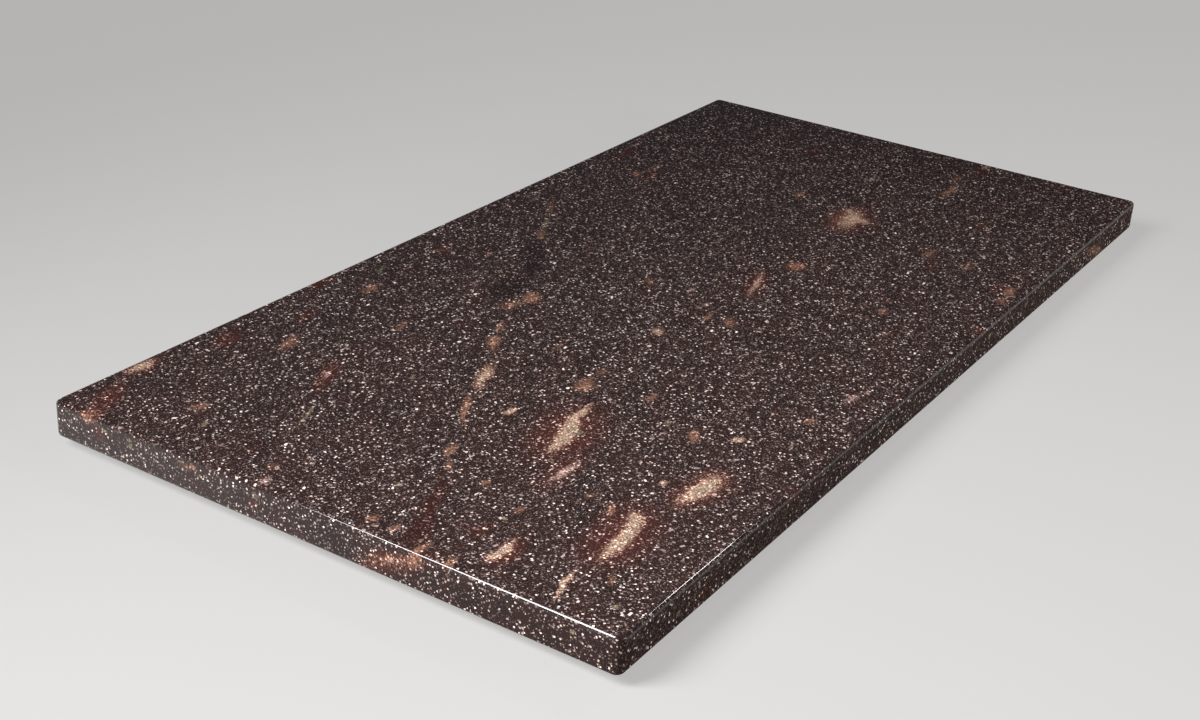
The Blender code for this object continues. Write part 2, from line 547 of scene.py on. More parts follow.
# %% Each in its own place
def turned_piece(name, node, tree, material, wave, seed_offset):
    low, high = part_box(node)
    centre = (low + high) / 2
    sizes = {
        "Radius": (high.x - low.x) / 2,
        "Height": high.z - low.z,
        "Centre X": centre.x,
        "Centre Y": centre.y,
        "Base": low.z,
        "Rim Wave": wave,
        "Wave Seed Offset": seed_offset,
        "Material": material,
    }
    piece = make_shape(name, tree, sizes)
    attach(piece, "root")
    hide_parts(node)
    return piece


PLACES = ["front_left", "front_right", "back_left", "back_right"]
RUBBER_WAVE = 0.004  # share of the radius
FOAM_WAVE = 0.03
DISC_SEEDS = 10  # keeps the discs' waves apart from the feet's

for number, place in enumerate(PLACES):
    turned_piece(
        name="rubber_foot_" + place,
        node="foot_" + place,
        tree=foot_tree,
        material=rubber,
        wave=RUBBER_WAVE,
        seed_offset=number,
    )
    turned_piece(
        name="foam_disc_" + place,
        node="adhesive_disc_" + place,
        tree=disc_tree,
        material=foam,
        wave=FOAM_WAVE,
        seed_offset=DISC_SEEDS + number,
    )

# %% [markdown]
# ## The stone
#
# This is a dark stone of the porphyry kind: a fine reddish-black ground packed with pale
# crystals of about a millimetre, and drawn-out lenses of cream and rust that all lean the same
# way, because the rock flowed before it set. An image would be stretched over the edges. A solid
# texture is not: it is a colour for every point of space, and the slab is cut out of it. All of
# it therefore reads Object coordinates, turned into millimetres, so that places and sizes below
# are ones that could be measured on the stone.

# %% Helpers for solid textures
TOP_MM = slab_high.z * 1000
BASE_MM = slab_low.z * 1000
HALF_LENGTH_MM = slab_size.x * 500
HALF_WIDTH_MM = slab_size.y * 500
MM_IN_A_METRE = (1000.0, 1000.0, 1000.0)


def new_finish(material):
    """A material's tree, its shader, and the place of every point in millimetres."""
    material.use_nodes = True
    tree = material.node_tree
    metres = add(tree, "ShaderNodeTexCoord").outputs["Object"]
    place = vector_maths(tree, "MULTIPLY", metres, MM_IN_A_METRE)
    return tree, tree.nodes["Principled BSDF"], place


def rgb(red, green, blue):
    return (red, green, blue, 1.0)


def blend(tree, factor, first, second):
    inputs = {0: factor, 6: first, 7: second}
    return add(tree, "ShaderNodeMix", inputs, data_type="RGBA").outputs[2]


def tint(tree, factor, first, second):
    inputs = {0: factor, 6: first, 7: second}
    settings = {"data_type": "RGBA", "blend_type": "MULTIPLY"}
    return add(tree, "ShaderNodeMix", inputs, **settings).outputs[2]


def noise(tree, place, scale, detail=2.0, output="Fac"):
    """Soft random values between 0 and 1, which rise and fall about scale times in each unit."""
    inputs = {"Vector": place, "Scale": scale, "Detail": detail}
    return add(tree, "ShaderNodeTexNoise", inputs).outputs[output]


print("working face at", round(TOP_MM, 1), "mm, sawn face at", round(BASE_MM, 1), "mm")

# %% [markdown]
# ## Lenses: balls in a stretched space
#
# The lenses that give this slab its face are listed one by one, in one short list for each kind.
# Each is an ellipsoid: a Mapping node moves, turns and scales space so that the ellipsoid
# becomes a ball, and the distance from its middle says how deep inside a point is. Noise bends
# space first, so no outline stays smooth.
#
# The renderer keeps unfinished results on a small scratch pad, and it starts on every node that
# it can. A hundred balls at once would fill the pad, and the stone would turn black. So the
# balls wait for each other in batches: each batch reads a place that the batch before it has
# moved, by so little that nothing shows.

# %% Bending space
def bend_space(tree, place, scale, amount):
    """Moves every point of space by up to half of amount, in a random direction."""
    wander = noise(tree, place, scale, 2.0, "Color")
    centred = vector_maths(tree, "SUBTRACT", wander, (0.5, 0.5, 0.5))
    moved_by = vector_maths(tree, "MULTIPLY", centred, (amount,) * 3)
    return vector_maths(tree, "ADD", place, moved_by)


# %% Ellipsoids, in batches
OUTSIDE = 1.7  # in half sizes from the middle: where a lens has faded away
INSIDE = 0.5  # and where it has its full strength
BATCH = 8
NUDGE = (0.000001,) * 3  # in millimetres


def queue_behind(tree, place, result):
    """The same place, moved by a nudge, so that result is worked out first."""
    return vector_maths(tree, "ADD", place, scaled_vector(tree, NUDGE, result))


def ellipsoids(tree, place, rows):
    """Each row is centre, half sizes, turn in degrees and strength; the strongest wins.

    Returns how deep inside them a point is, and the place to go on with.
    """
    together = None
    for number, (centre, half_sizes, turn, strength) in enumerate(rows):
        if number and number % BATCH == 0:
            place = queue_behind(tree, place, together)
        angles = [math.radians(angle) for angle in turn]
        inputs = {"Vector": place, "Location": centre, "Rotation": angles, "Scale": half_sizes}
        ball = add(tree, "ShaderNodeMapping", inputs, vector_type="TEXTURE").outputs[0]
        reach = vector_maths(tree, "LENGTH", ball)
        slope = strength / (OUTSIDE - INSIDE)
        depth = maths(tree, "MULTIPLY_ADD", reach, -slope, slope * OUTSIDE)
        together = depth if together is None else maths(tree, "MAXIMUM", together, depth)
    return maths(tree, "MINIMUM", together, 1.0), queue_behind(tree, place, together)


# %% [markdown]
# ## Where the lenses lie
#
# A maker would mark these with chalk: so far along, so far across, so long and so wide, turned
# by so many degrees. Every row below is such a mark, in millimetres from the slab's middle. On
# the ends and the front a row gives the place along that face and the height above the sawn
# face. How far a lens goes into the stone isn't marked: it is taken from its width, so that a
# lens near an edge comes out of the side as well, where the two faces of a real block agree.

# %% Marks on each face
LEAST_DEPTH = 1.0  # the least half depth of a lens, in millimetres
DEPTH_BY_WIDTH = 0.8  # what each millimetre of width adds to it under the working face


def on_top(rows):
    """Rows of x, y, length, width, turn, strength, for lenses that meet the working face."""
    marks = []
    for x, y, length, width, turn, strength in rows:
        half_sizes = (length / 2, width / 2, LEAST_DEPTH + width * DEPTH_BY_WIDTH)
        marks.append(((x, y, TOP_MM), half_sizes, (0, 0, turn), strength))
    return marks


def on_left_end(rows):
    """Rows of y, height above the underside, length, height of the lens, turn, strength."""
    marks = []
    for y, z, length, height, turn, strength in rows:
        half_sizes = (LEAST_DEPTH + height, length / 2, height / 2)
        marks.append(((-HALF_LENGTH_MM, y, BASE_MM + z), half_sizes, (turn, 0, 0), strength))
    return marks


def on_front(rows):
    """Rows of x, height above the underside, length, height of the lens, turn, strength."""
    marks = []
    for x, z, length, height, turn, strength in rows:
        half_sizes = (length / 2, LEAST_DEPTH + height, height / 2)
        marks.append(((x, -HALF_WIDTH_MM, BASE_MM + z), half_sizes, (0, -turn, 0), strength))
    return marks


# %% [markdown]
# ## Cream and pinkish lenses
#
# The cream lenses are what the eye goes to first: most of them lie at the slab's left end, and
# one broad one far off at the right. The pinkish ones are the same mineral, thinner and stained,
# so they are marked fainter.

# %% Cream lenses
CREAM = on_top(
    [
        (-181, -44.5, 30, 6.0, 20, 1.0),
        (-195, -49, 14, 3.5, 5, 0.9),
        (-165, -39.5, 14, 4, 5, 0.9),
        (-245, -114, 26, 5.5, 3, 1.0),
        (-230, -110.5, 12, 5, 25, 0.9),
        (-189, -119.5, 25, 7.5, -5, 0.9),
        (-287.5, -114.5, 15, 2.5, 17, 0.9),
        (-282.5, -80.5, 14, 4, 0, 0.9),
        (-139, -110, 5, 3.5, 0, 1.0),
        (-182.5, -13, 7, 3.5, 0, 0.9),
        (-255, 147.5, 14, 5, 5, 0.9),
        (-160, 17.5, 22, 5, 25, 0.7),
        (150, -27, 24, 8, 5, 0.85),
        (161, -21.5, 12, 5, 35, 0.75),
        (152, -32, 8, 6, 0, 0.75),
        (26, -30, 26, 3, 17, 0.65),
        (-35, 105, 5, 2, 0, 0.6),
        (-194, -104, 4, 3, 0, 0.7),
        (-63, -20, 9, 5, 35, 0.6),
    ]
) + on_left_end([(-44, 8.5, 12, 3, -25, 0.4)])

# %% Pinkish lenses
PINK = on_top(
    [
        (-212.5, -65, 21, 5, 0, 0.9),
        (-129.5, -132, 9, 2.5, 12, 0.7),
        (-207, 75, 16, 3, 27, 0.6),
        (-299, 29, 6, 5, 0, 0.7),
        (-277, 24, 4, 3, 0, 0.6),
        (-144, 10, 8, 4, 0, 0.4),
        (-75.5, 86, 10, 4, 40, 0.5),
        (51, 135, 10, 5, 0, 0.4),
        (-17.5, -22.5, 8, 4, 0, 0.6),
        (-5, -7, 8, 4, 0, 0.5),
        (-67, -133, 12, 5, 0, 0.7),
        (-56, -135, 6, 3, 0, 0.6),
        (177, 143, 12, 3, 0, 0.7),
        (205, 135, 12, 3, 30, 0.6),
        (225, -5, 8, 4, 0, 0.7),
        (299, -54, 9, 5, 0, 0.8),
        (274, -86, 10, 4, 20, 0.5),
        (152, -111, 10, 6, 0, 0.35),
        (150, -36, 8, 4, 0, 0.7),
    ]
) + on_front([(83, 14, 5, 4, 0, 0.6), (115, 12, 5, 3, 0, 0.6), (281, 10, 6, 6, 0, 0.6)])

# %% [markdown]
# ## Khaki crystals and rust stains
#
# Single crystals of a greenish feldspar lie here and there, some of them in the middle of a cream
# lens. Iron has stained far more places than that: rust is the commonest mark of all, from
# small spots to long streaks along the flow.

# %% Khaki crystals and streaks
KHAKI = on_top(
    [
        (-180, -49, 5, 4, 0, 1.0),
        (-267.5, -16, 4, 3, 0, 0.8),
        (-262, -67, 3, 3, 0, 0.9),
        (-287, -137.5, 4, 2.5, 0, 0.8),
        (-144, -76, 6, 4, 0, 0.7),
        (-242.5, 55.5, 24, 3, 25, 0.6),
        (-279, 84, 4, 3, 0, 0.8),
        (-184, 42, 4, 3, 0, 0.8),
        (-92.5, 135.5, 16, 4, 30, 0.5),
        (21, 107.5, 16, 4, 20, 0.7),
        (47.5, 23, 6, 3, 0, 0.7),
        (22, -7, 10, 6, 0, 0.4),
        (-177.5, 92.5, 28, 4, 28, 0.35),
        (205, -94, 10, 5, 0, 0.4),
        (-189, -119.5, 12, 3.5, -5, 0.6),
    ]
)
KHAKI += on_left_end([(120, 13, 6, 2, 0, 0.7), (105, 13, 4, 8, 0, 0.5), (30, 13, 4, 3, 0, 0.7)])
KHAKI += on_left_end([(-131, 12, 3, 2, 0, 0.9)])
KHAKI += on_front([(-262, 8, 3, 3, 0, 0.8), (62, 12, 4, 3, 0, 0.7), (228, 8, 16, 3, -12, 0.5)])

# %% Rust-coloured stains
RUST = on_top(
    [
        (-229, -16, 10, 4, 20, 0.9),
        (-240, -24, 8, 3, 25, 0.7),
        (-137.5, -25.5, 14, 7, 20, 0.8),
        (-121, -24, 8, 5, 0, 0.4),
        (-128, -57, 8, 4, 0, 0.7),
        (-149, -93, 10, 4, 25, 0.9),
        (-242.5, -44, 6, 4, 0, 0.7),
        (-296, -24, 6, 4, 0, 0.7),
        (-295.5, -37, 5, 3, 0, 0.8),
        (-300, -55, 10, 3, 0, 0.9),
        (-302.5, -70, 8, 3, 0, 0.9),
        (-252.5, -68, 7, 4, 0, 0.6),
        (-274, -127.5, 6, 2.5, 30, 0.7),
        (-228, -98, 10, 3, 20, 0.8),
        (-102.5, -127.5, 6, 4, 0, 0.7),
        (-222.5, -85, 5, 3, 0, 0.4),
        (-192.5, 112.5, 14, 6, 25, 0.7),
        (-115, 125, 12, 6, 20, 0.7),
        (-269, 97.5, 8, 5, 0, 0.7),
        (-142.5, 82.5, 12, 5, 20, 0.4),
        (-289, 35, 8, 3, 0, 0.4),
        (-192.5, 4, 24, 3.5, 27, 0.8),
        (-127.5, 35, 16, 6, 25, 0.8),
        (-110, 44, 12, 3, 27, 0.6),
        (-110, 9, 8, 4, 0, 0.4),
        (6, 99, 12, 4, 30, 0.7),
        (45, 119, 24, 4, 28, 0.4),
        (-71, 52.5, 12, 8, 25, 1.0),
        (-85, 55, 14, 8, 0, 0.5),
        (-11, 16, 12, 5, 35, 0.4),
        (-28, -30.5, 12, 2.5, 5, 0.8),
        (-28, -42.5, 10, 6, 30, 0.6),
        (62.5, -36, 9, 8, 0, 0.8),
        (37.5, -100.5, 8, 4, 0, 0.7),
        (12.5, -114, 8, 3, 0, 0.4),
        (95, -145, 12, 5, 0, 0.6),
        (169, 16, 12, 5, 20, 0.6),
        (256, 96, 12, 4, 20, 0.4),
        (129, 112.5, 10, 4, 30, 0.8),
        (147, 110, 12, 6, 0, 0.4),
        (240, -53, 26, 5, 5, 0.6),
        (265, -48, 16, 4, 0, 0.5),
        (131, -86, 14, 7, 0, 0.5),
        (109, -144, 13, 6, 20, 0.8),
        (129, -111, 14, 5, 0, 0.4),
        (150, -24, 32, 15, 8, 0.5),
        (-178, -119, 14, 12, 0, 0.4),
    ]
)
RUST += on_left_end([(129, 16, 8, 5, 0, 0.7), (67, 13, 8, 3, 0, 0.6), (-54, 13.5, 8, 5, 0, 0.9)])
RUST += on_left_end([(-41, 8, 24, 5, -25, 0.38)])
RUST += on_front([(232, 7, 28, 6, -12, 0.7)])

# %% [markdown]
# ## Red clouds and dark patches
#
# Round most lenses the ground itself is a deep red, as if the lens had bled into it, so these
# marks repeat the lenses' places with larger sizes. A few patches go the other way: the crystals
# thin out there, and the ground shows almost black.

# %% Dark red clouds, most of them round the lenses
RED = on_top(
    [
        (-182, -46, 50, 26, 14, 0.9),
        (-243, -113, 48, 24, 8, 0.9),
        (-189, -119.5, 34, 18, -5, 0.8),
        (-212, -63, 34, 14, 5, 0.7),
        (-188, -57, 16, 8, 0, 1.0),
        (-282, -84, 20, 8, 0, 0.8),
        (-290, -46, 24, 9, 20, 1.0),
        (-270, -37, 40, 6, 22, 0.7),
        (-275, -65, 12, 8, 0, 0.6),
        (-255, 147, 24, 10, 5, 0.8),
        (-290, 134, 35, 9, 25, 1.0),
        (-207.5, 137.5, 18, 8, 20, 0.9),
        (-164, 127, 14, 5, 20, 0.8),
        (-126, 147, 20, 5, 0, 1.0),
        (-209, 74, 26, 8, 27, 1.0),
        (-282.5, 52.5, 10, 4, 0, 0.6),
        (-160, 16, 26, 9, 25, 0.4),
        (-119, 62.5, 10, 3, 45, 0.5),
        (-49, 129, 16, 10, 0, 0.6),
        (26, -30, 32, 12, 17, 0.7),
        (62.5, -36, 16, 12, 0, 0.6),
        (-105, -111, 10, 4, 25, 0.4),
        (52.5, -95, 8, 5, 0, 0.7),
        (50, -151, 8, 3, 0, 0.7),
        (134, 105, 16, 8, 0, 0.9),
        (160, 139, 30, 6, 0, 0.8),
        (235, 119, 16, 5, 30, 0.6),
        (246, 46, 16, 10, 0, 0.9),
        (126, 92.5, 10, 6, 0, 0.4),
        (292, 77.5, 8, 5, 0, 0.5),
        (150, -27, 38, 24, 5, 0.9),
        (291, -54, 18, 8, 0, 0.7),
        (114, -95.5, 16, 6, 20, 0.6),
        (109, -137, 14, 6, 0, 0.6),
        (194, -92.5, 14, 6, 0, 0.7),
        (231, -132.5, 8, 5, 0, 0.5),
        (295, -109, 10, 8, 0, 0.6),
    ]
)
RED += on_left_end([(123, 9, 6, 6, 0, 0.8), (32, 8, 5, 4, 0, 0.8), (-43, 8, 34, 9, -25, 1.0)])
RED += on_front([(-243, 7, 8, 6, 0, 0.8), (-165, 16, 10, 4, 0, 0.8), (50, 17, 10, 3, 0, 0.8)])
RED += on_front([(298, 14, 12, 6, 0, 0.8)])

# %% Darker patches, where the crystals thin out
DARK = on_top(
    [
        (-22.5, 85, 50, 8, 28, 0.9),
        (-66, 70, 26, 14, 10, 0.9),
        (-36, 76, 20, 8, 20, 0.7),
        (-290, -46, 26, 10, 20, 0.8),
        (-265, -35, 36, 5, 22, 0.6),
        (246, 46, 14, 8, 0, 0.6),
    ]
)
FEATURES = {"cream": CREAM, "pink": PINK, "khaki": KHAKI, "rust": RUST, "red": RED, "dark": DARK}
print("hand-placed features:", {name: len(rows) for name, rows in FEATURES.items()})

# %% [markdown]
# ## Frayed edges
#
# A real lens ends in crystals, not in a line. The grain, a noise of about a millimetre, is added
# to how deep inside a lens a point is, and only then is the edge drawn. The more grain, the more
# frayed the edge. The cream lenses are used twice: once for themselves, and once with a wider
# and coarser edge, for the orange blush round them.

# %% How much of each feature there is
EVEN_GRAIN = 0.5  # what a noise comes to on average


def stone_figure(tree, place):
    """Each feature's share at a point, from 0 to 1, with the grain that frays it."""
    slowly_bent = bend_space(tree, place, scale=0.05, amount=7.0)
    bent = bend_space(tree, slowly_bent, scale=0.5, amount=2.6)
    depths = {}
    for name, rows in FEATURES.items():
        depths[name], bent = ellipsoids(tree, bent, rows)
    grain = noise(tree, place, scale=0.9)
    fray = maths(tree, "SUBTRACT", grain, EVEN_GRAIN)

    def frayed(name, start, end, coarseness):
        depth = maths(tree, "MULTIPLY_ADD", fray, coarseness, depths[name])
        return fade(tree, depth, start, end)

    return {
        "grain": grain,
        "cream": frayed("cream", start=0.28, end=0.80, coarseness=1.1),
        "blush": frayed("cream", start=0.00, end=0.60, coarseness=1.7),
        "clouding": noise(tree, place, scale=0.22),
        "pink": frayed("pink", start=0.28, end=0.90, coarseness=1.2),
        "khaki": frayed("khaki", start=0.30, end=0.80, coarseness=0.8),
        "rust": frayed("rust", start=0.05, end=1.00, coarseness=1.6),
        "red": frayed("red", start=0.00, end=0.95, coarseness=1.1),
        "dark": frayed("dark", start=0.05, end=0.80, coarseness=0.5),
    }


# %% [markdown]
# ## The ground
#
# Between the crystals the stone is nearly black, with a red cast. Fine specks keep it from
# looking like paint. Over a hand's width it drifts between a redder and a greyer black, and the
# drift is drawn out along the flow, by a Mapping node that turns space and stretches it.

# %% Slow drifts along the flow
FLOW = math.radians(24)  # the way the rock flowed, from +X towards +Y
DRIFT_SIZE = (38.0, 13.0, 13.0)  # in millimetres, along the flow and across it


def drifts(tree, place):
    """Two slow changes, from 0 to 1: one broad, and one a fifth as wide."""
    inputs = {"Vector": place, "Rotation": (0.0, 0.0, FLOW), "Scale": DRIFT_SIZE}
    along = add(tree, "ShaderNodeMapping", inputs, vector_type="TEXTURE").outputs[0]
    broad = fade(tree, noise(tree, along, scale=1.0, detail=3.0), 0.35, 0.70)
    small = fade(tree, noise(tree, along, scale=5.0), 0.40, 0.72)
    return broad, small


# %% The ground between the crystals
GROUND_BLACK = rgb(0.008, 0.0065, 0.0065)
GROUND_SPECK = rgb(0.042, 0.025, 0.022)
GROUND_DRIFT = rgb(0.036, 0.016, 0.013)
GROUND_RED = rgb(0.056, 0.016, 0.012)
GROUND_DARK = rgb(0.012, 0.007, 0.007)


def washed(tree, colour, share, strength, wash):
    """Lays a wash over colour, as strongly as strength where share is 1."""
    return blend(tree, maths(tree, "MULTIPLY", share, strength), colour, wash)


def ground_colour(tree, speck, drift, figure):
    ground = blend(tree, fade(tree, speck, 0.35, 0.7), GROUND_BLACK, GROUND_SPECK)
    ground = washed(tree, ground, drift, strength=0.5, wash=GROUND_DRIFT)
    ground = washed(tree, ground, figure["red"], strength=0.75, wash=GROUND_RED)
    return washed(tree, ground, figure["dark"], strength=0.6, wash=GROUND_DARK)


# %% [markdown]
# ## Crystals
#
# The thousands of crystals come from Voronoi cells. A cell has a middle and a random colour that
# is the same all over it. The middle says where the crystal is, and the colour's three numbers
# serve as dice: whether there is one at all, how large and how bright it is, and which way it is
# turned. Cutting it by its largest coordinate, and not by its distance, makes it a block with
# flat sides, as feldspar is, and not a ball. Three sizes lie over each other, because rock is
# never sorted, and the brightest one wins.

# %% Blocks in Voronoi cells
FULL_TURN = (6.283, 6.283, 6.283)


def crystals(tree, place, cell, share, smallest, largest, shape):
    """Angular blocks, one to a cell, in a share of the cells: coverage, and a random number."""
    cells = add(tree, "ShaderNodeTexVoronoi", {"Vector": place, "Scale": 1.0 / cell})
    dice = add(tree, "ShaderNodeSeparateColor", {0: cells.outputs["Color"]}).outputs
    inside = vector_maths(tree, "SUBTRACT", place, cells.outputs["Position"])
    angles = vector_maths(tree, "MULTIPLY", cells.outputs["Color"], FULL_TURN)
    inputs = {"Vector": inside, "Rotation": angles}
    turned = add(tree, "ShaderNodeVectorRotate", inputs, rotation_type="EULER_XYZ").outputs[0]
    block = vector_maths(tree, "ABSOLUTE", vector_maths(tree, "DIVIDE", turned, shape))
    sides = add(tree, "ShaderNodeSeparateXYZ", {0: block}).outputs
    reach = maths(tree, "MAXIMUM", maths(tree, "MAXIMUM", sides[0], sides[1]), sides[2])
    size = maths(tree, "MULTIPLY_ADD", dice["Blue"], largest - smallest, smallest)
    present = maths(tree, "LESS_THAN", dice["Red"], share)
    covered = maths(tree, "MULTIPLY", present, maths(tree, "LESS_THAN", reach, size))
    return covered, dice["Green"]


# %% Three sizes of crystal
FINE = {
    "cell": 0.80,  # millimetres from one crystal to the next
    "share": 0.50,  # of the cells hold one
    "smallest": 0.22,  # half its size
    "largest": 0.40,
    "shape": (1.0, 0.9, 0.8),
}
MIDDLING = {"cell": 1.25, "share": 0.30, "smallest": 0.28, "largest": 0.54, "shape": (1.0, 0.8, 0.8)}
BIG = {"cell": 2.60, "share": 0.16, "smallest": 0.40, "largest": 0.85, "shape": (1.4, 0.65, 0.8)}
LAYERS = [(FINE, 0.15, 0.60), (MIDDLING, 0.35, 1.00), (BIG, 0.40, 1.00)]  # dimmest, brightest
MOSTLY_DIM = 1.6  # above 1, the bright ones are rarer than the dim ones


def crystal_layers(tree, place):
    """How bright the crystals are at a point, and whether there is one."""
    tone = None
    cover = None
    for layer, dimmest, brightest in LAYERS:
        covered, random = crystals(tree, place, **layer)
        chance = maths(tree, "POWER", random, MOSTLY_DIM)
        glow = maths(tree, "MULTIPLY_ADD", chance, brightest - dimmest, dimmest)
        bright = maths(tree, "MULTIPLY", covered, glow)
        tone = bright if tone is None else maths(tree, "MAXIMUM", tone, bright)
        cover = covered if cover is None else maths(tree, "MAXIMUM", cover, covered)
    return tone, cover


# %% [markdown]
# ## The crystals' colours
#
# One ramp turns brightness into colour, from a brown that hardly leaves the ground to a white
# that is never quite white. Then the crystals take a tint from where they are: a honey or a rose
# one from the grain, red inside the clouds, rust where iron got in.

# %% From brightness to mineral
CRYSTAL_TONES = [
    (0.15, rgb(0.050, 0.035, 0.034)),
    (0.40, rgb(0.15, 0.115, 0.11)),
    (0.68, rgb(0.46, 0.385, 0.365)),
    (1.00, rgb(0.95, 0.88, 0.83)),
]
TINT_STRENGTH = 0.7
HONEY = rgb(1.0, 0.86, 0.66)
ROSE = rgb(1.0, 0.74, 0.66)
REDDENED = rgb(1.0, 0.62, 0.52)
RUSTED = rgb(1.0, 0.66, 0.46)
WARMED = rgb(1.0, 0.78, 0.70)


def colour_ramp(tree, value, tones):
    """A colour for each value; tones are (value, colour), with the lowest value first."""
    ramp = add(tree, "ShaderNodeValToRGB", {0: value})
    stops = ramp.color_ramp.elements
    for stop, (position, colour) in zip(stops, (tones[0], tones[-1])):
        stop.position = position
        stop.color = colour
    for position, colour in tones[1:-1]:
        stops.new(position).color = colour
    return ramp.outputs[0]


def crystal_colour(tree, tone, small_drift, figure):
    grain = figure["grain"]
    colour = colour_ramp(tree, tone, CRYSTAL_TONES)
    colour = tint(tree, fade(tree, grain, 0.54, 0.62, high=TINT_STRENGTH), colour, HONEY)
    colour = tint(tree, fade(tree, grain, 0.44, 0.36, high=TINT_STRENGTH), colour, ROSE)
    colour = tint(tree, maths(tree, "MULTIPLY", figure["red"], 0.6), colour, REDDENED)
    colour = tint(tree, figure["rust"], colour, RUSTED)
    return tint(tree, maths(tree, "MULTIPLY", small_drift, 0.5), colour, WARMED)


# %% [markdown]
# ## Stains and lenses
#
# A lens painted in one colour would look like a sticker. On the real stone the crystals go on
# through it, so each stain is first lit by them: bright where a crystal lies underneath, and
# darker in between. Rust goes on first and khaki last, so that the cream lenses, and the khaki
# crystals inside some of them, end on top.

# %% Laying stains over the stone
RUST_STAIN = (0.60, 0.315, 0.215)
PINK_STAIN = (0.88, 0.58, 0.50)
BLUSH_STAIN = (0.72, 0.38, 0.27)
WARM_CREAM = rgb(0.90, 0.60, 0.43)
GREY_CREAM = rgb(0.72, 0.54, 0.40)
KHAKI_STAIN = (0.44, 0.37, 0.25)
CRYSTAL_LIGHT = 1.6
SPECK_LIGHT = 1.2
GRAIN_LIGHT = 1.3
LIGHT_LEVEL = -0.90  # takes off what the three would add everywhere
LEAST_LIGHT = 0.15


def light_below(tree, tone, speck, grain):
    """How bright the stone is under a stain: mostly its crystals, partly its finer grain."""
    light = maths(tree, "MULTIPLY_ADD", speck, SPECK_LIGHT, LIGHT_LEVEL)
    light = maths(tree, "MULTIPLY_ADD", tone, CRYSTAL_LIGHT, light)
    light = maths(tree, "MULTIPLY_ADD", grain, GRAIN_LIGHT, light)
    return maths(tree, "MAXIMUM", light, LEAST_LIGHT)


def stained(tree, colour, share, strength, stain, light):
    """As washed, with a stain that is as bright as the stone under it."""
    factor = maths(tree, "MULTIPLY", share, strength)
    return blend(tree, factor, colour, scaled_vector(tree, stain, light))


def lay_stains(tree, colour, light, figure):
    colour = stained(tree, colour, figure["rust"], strength=0.66, stain=RUST_STAIN, light=light)
    colour = stained(tree, colour, figure["pink"], strength=0.65, stain=PINK_STAIN, light=light)
    colour = stained(tree, colour, figure["blush"], strength=0.50, stain=BLUSH_STAIN, light=light)
    cream = blend(tree, fade(tree, figure["clouding"], 0.35, 0.65), WARM_CREAM, GREY_CREAM)
    colour = stained(tree, colour, figure["cream"], strength=0.85, stain=cream, light=light)
    return stained(tree, colour, figure["khaki"], strength=0.75, stain=KHAKI_STAIN, light=light)


# %% [markdown]
# ## The sawn underside
#
# Nobody polishes the side that lies on the bench. It was left as the saw cut it: pale with stone
# dust, and scored by the big disc's teeth in arcs that all have the disc's hub for a middle. The
# distance from the hub is a single number, so noise on it alone gives arcs for nothing.

# %% Saw marks
BLADE_HUB = (420.0, -760.0, 0.0)  # where the disc's hub was, in millimetres
NOT_SAWN_ABOVE = BASE_MM + 0.7
ALL_SAWN_BELOW = BASE_MM + 0.2
STONE_DUST = rgb(0.30, 0.265, 0.25)
DUST_IN_ARCS = 0.7
DUST_EVERYWHERE = 0.15


def saw_marks(tree, place, height):
    """Where the sawn face is, from 0 to 1, and how deep the disc scored it there."""
    sawn = fade(tree, height, NOT_SAWN_ABOVE, ALL_SAWN_BELOW)
    from_hub = vector_maths(tree, "SUBTRACT", place, BLADE_HUB)
    from_hub = vector_maths(tree, "MULTIPLY", from_hub, (1.0, 1.0, 0.0))
    arcs = noise(tree, vector_maths(tree, "LENGTH", from_hub), scale=0.6, detail=3.0)
    return sawn, arcs


def dusted(tree, colour, sawn, arcs):
    dust = maths(tree, "MULTIPLY_ADD", arcs, DUST_IN_ARCS, DUST_EVERYWHERE)
    return blend(tree, maths(tree, "MULTIPLY", sawn, dust), colour, STONE_DUST)


# %% [markdown]
# ## Polish
#
# The shine is a clear layer of its own, Coat, so that each face can have the polish it was
# given: a good deal on the arris, which hands keep polishing, less on the working face, hardly
# any on the front and the back, and none on the sawn underside. On the two ends it grows from
# front to back. The stone under the coat has no mirror of its own, but its roughness is painted
# too, for programs that draw it without the coat. Pale minerals take a polish better than the
# ground does, and they stand out from it by a hair, so the relief follows the same crystals as
# the colour.

# %% Roughness and relief
GROUND_ROUGHNESS = 0.17
CRYSTALS_ADD = -0.05
SMEARS_ADD = 0.10
SAW_ADDS = 0.45
CRYSTAL_RELIEF = 0.6
SPECK_RELIEF = 0.4
RELIEF_STRENGTH = 0.12
RELIEF_DEPTH = 0.00002  # in metres, because it is the shader that reads it
SAW_SCORE = 6.0  # how much deeper the saw's arcs are than the crystals' relief


def stone_roughness(tree, place, cover, sawn):
    smear = noise(tree, place, scale=0.03, detail=3.0)
    rough = maths(tree, "MULTIPLY_ADD", cover, CRYSTALS_ADD, GROUND_ROUGHNESS)
    rough = maths(tree, "MULTIPLY_ADD", smear, SMEARS_ADD, rough)
    return maths(tree, "MULTIPLY_ADD", sawn, SAW_ADDS, rough)


def stone_relief(tree, tone, speck, sawn, arcs):
    height = maths(tree, "MULTIPLY", speck, SPECK_RELIEF)
    height = maths(tree, "MULTIPLY_ADD", tone, CRYSTAL_RELIEF, height)
    scores = maths(tree, "MULTIPLY", arcs, sawn)
    height = maths(tree, "MULTIPLY_ADD", scores, SAW_SCORE, height)
    inputs = {"Height": height, "Strength": RELIEF_STRENGTH, "Distance": RELIEF_DEPTH}
    return add(tree, "ShaderNodeBump", inputs).outputs[0]


